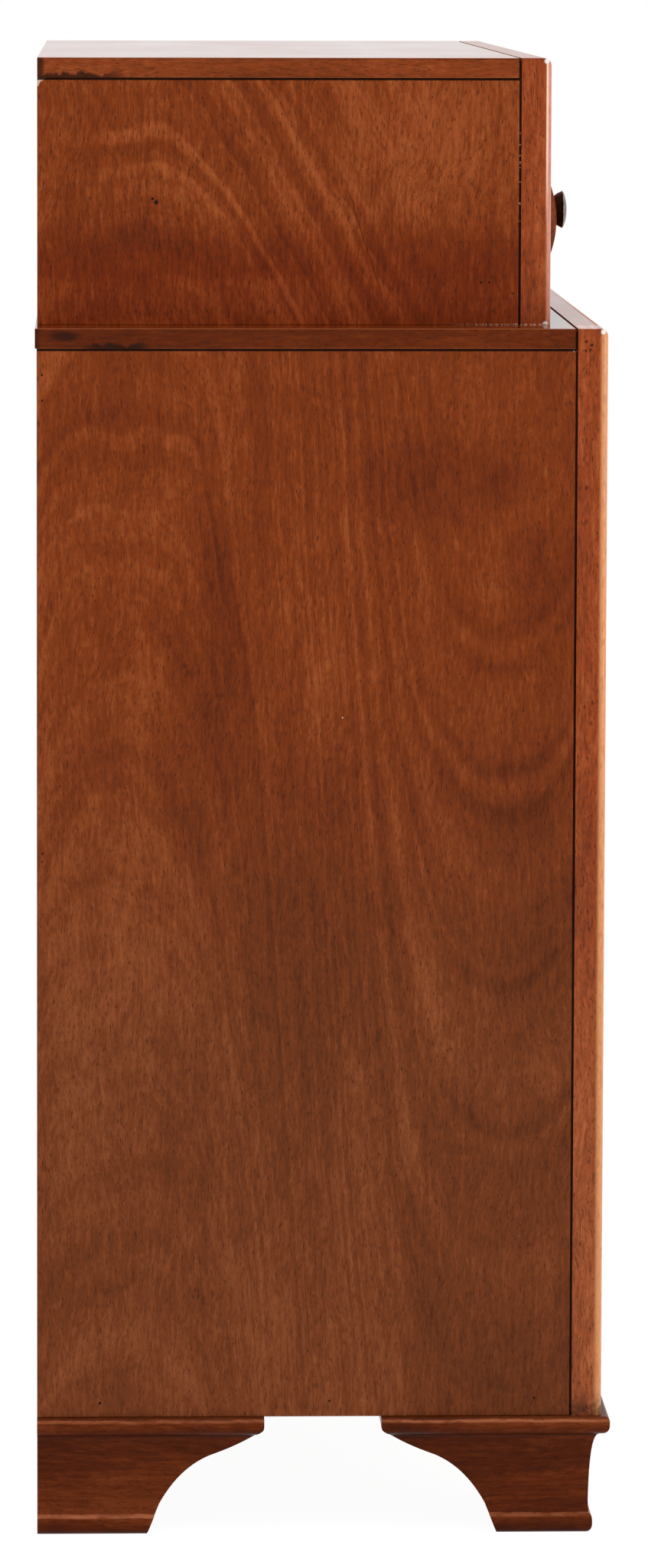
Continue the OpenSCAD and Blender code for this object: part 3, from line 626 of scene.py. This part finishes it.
def dress():
    """Give every node its material, and ease the edges of the polished boards."""
    polished = {
        lower_side_veneer(): [f"lower_side_{side}" for side in SIDES],
        deck_side_veneer(): [f"deck_side_{side}" for side in SIDES],
        plate("deck_top_wood", PLATE, DECK_PLATE_FRONT, deck_plate_ink): ["deck_top"],
        plate("lower_top_wood", LEDGE, LOWER_PLATE_FRONT, lower_plate_ink): ["lower_top"],
        rail_wood(): ["lower_top_rail", "lower_drawer_rails", "lower_bottom_rail", "deck_top_rail",
                      "deck_bottom_rail"],
        stile_wood(): ["lower_stile_left", "lower_stile_right", "deck_stile_left", "deck_stile_right",
                       "deck_partition"],
        foot_wood("X"): ["front_foot_left_face", "front_foot_right_face", "rear_foot_backs"],
        foot_wood("Y"): [f"{end}_foot_{side}_side" for end in ("front", "rear") for side in SIDES],
    }
    plain = {
        panel_wood("X"): ["lower_bottom", "dust_panels", "deck_bottom"] + [f"{d}_bottom" for d in DRAWERS],
        panel_wood("Z"): ["lower_back", "deck_back"],
        pale_wood("Y"): ["drawer_runners"],
        pale_wood("Z"): ["foot_blocks"],
        front_veneer(): [f"{d}_front" for d in DRAWERS],
        box_wood(): [f"{d}_box" for d in DRAWERS],
        bronze(): [name for name in nodes if name.endswith(("_knob", "_knobs"))],
        steel(): [name for name in nodes if name.endswith(("_screw", "_screws"))],
    }
    for material, names in [*polished.items(), *plain.items()]:
        for name in names:
            nodes[name].data.materials.clear()
            nodes[name].data.materials.append(material)
    for names in polished.values():
        for name in names:
            ease_edges(nodes[name])


def ease_edges(node):
    """Soften the sharp edges of a board by a fraction of a millimetre."""
    weld = node.modifiers.new("weld", "WELD")
    weld.merge_threshold = EDGE_WELD
    bevel = node.modifiers.new("eased", "BEVEL")
    bevel.width = EDGE_WIDTH
    bevel.segments = 2
    bevel.limit_method = "ANGLE"
    bevel.angle_limit = EDGE_ANGLE
    bevel.harden_normals = True


def make_camera():
    data = bpy.data.cameras.new("camera")
    data.sensor_width = SENSOR
    data.lens = FOCAL_PX / IMAGE_H * SENSOR
    data.shift_x, data.shift_y = SHIFT_X, SHIFT_Y
    data.clip_end = FAR_CLIP
    camera = bpy.data.objects.new("camera", data)
    scene.collection.objects.link(camera)
    scene.camera = camera
    forward = Vector((math.cos(PITCH) * math.cos(YAW), -math.cos(PITCH) * math.sin(YAW), -math.sin(PITCH)))
    level = Vector((-math.sin(YAW), -math.cos(YAW), 0))
    plumb = level.cross(forward)
    right = level * math.cos(ROLL) + plumb * math.sin(ROLL)
    up = plumb * math.cos(ROLL) - level * math.sin(ROLL)
    camera.matrix_world = Matrix.Translation(CAMERA_AT) @ Matrix((right, up, -forward)).transposed().to_4x4()


def make_lamp(name, at, aim, size, power):
    data = bpy.data.lights.new(name, "AREA")
    data.shape = "RECTANGLE"
    data.size, data.size_y = size
    data.energy = power
    lamp = bpy.data.objects.new(name, data)
    lamp.location = at
    lamp.rotation_mode = "QUATERNION"
    lamp.rotation_quaternion = (Vector(aim) - Vector(at)).to_track_quat("-Z", "Y")
    lamp.visible_camera = False
    scene.collection.objects.link(lamp)


def seen_directly(tree):
    """1 for what the camera, a reflection or a clear material sees, else 0."""
    path = tree.nodes.new("ShaderNodeLightPath")
    total = path.outputs["Is Camera Ray"]
    for other in ("Is Glossy Ray", "Is Transmission Ray"):
        n = tree.nodes.new("ShaderNodeMath")
        n.operation = "MAXIMUM"
        tree.links.new(total, n.inputs[0])
        tree.links.new(path.outputs[other], n.inputs[1])
        total = n.outputs[0]
    return total


def make_world():
    """White where it is seen, and a little less bright for the light that it gives."""
    world = bpy.data.worlds.new("studio")
    scene.world = world
    world.use_nodes = True
    tree = world.node_tree
    tree.nodes.clear()
    out = tree.nodes.new("ShaderNodeOutputWorld")
    back = tree.nodes.new("ShaderNodeBackground")
    strength = tree.nodes.new("ShaderNodeMapRange")
    tree.links.new(seen_directly(tree), strength.inputs[0])
    strength.inputs[3].default_value = DIFFUSE_WORLD
    strength.inputs[4].default_value = 1.0
    tree.links.new(strength.outputs[0], back.inputs["Strength"])
    back.inputs["Color"].default_value = (1, 1, 1, 1)
    tree.links.new(back.outputs[0], out.inputs[0])


def make_floor():
    """A pale floor: nearly white and faintly shaded where it is seen, plain grey for its bounce."""
    mesh = bpy.data.meshes.new("floor")
    corners = [(x * FLOOR_REACH, y * FLOOR_REACH, 0) for x, y in ((-1, -1), (1, -1), (1, 1), (-1, 1))]
    mesh.from_pydata(corners, [], [(0, 1, 2, 3)])
    floor = bpy.data.objects.new("floor", mesh)
    scene.collection.objects.link(floor)
    material = bpy.data.materials.new("floor")
    material.use_nodes = True
    tree = material.node_tree
    tree.nodes.clear()
    out = tree.nodes.new("ShaderNodeOutputMaterial")
    choice = tree.nodes.new("ShaderNodeMixShader")
    plain = tree.nodes.new("ShaderNodeBsdfDiffuse")
    plain.inputs[0].default_value = (FLOOR_BOUNCE, FLOOR_BOUNCE, FLOOR_BOUNCE, 1)
    faint = tree.nodes.new("ShaderNodeBsdfDiffuse")
    faint.inputs[0].default_value = (FLOOR_SHADE, FLOOR_SHADE, FLOOR_SHADE, 1)
    glow = tree.nodes.new("ShaderNodeEmission")
    glow.inputs["Strength"].default_value = FLOOR_GLOW
    both = tree.nodes.new("ShaderNodeAddShader")
    tree.links.new(faint.outputs[0], both.inputs[0])
    tree.links.new(glow.outputs[0], both.inputs[1])
    tree.links.new(seen_directly(tree), choice.inputs[0])
    tree.links.new(plain.outputs[0], choice.inputs[1])
    tree.links.new(both.outputs[0], choice.inputs[2])
    tree.links.new(choice.outputs[0], out.inputs[0])
    mesh.materials.append(material)


make_camera()
make_world()
make_lamp("front_lamp", **FRONT_LAMP)
make_lamp("top_lamp", **TOP_LAMP)
make_floor()
scene.view_settings.view_transform = "Standard"
dress()
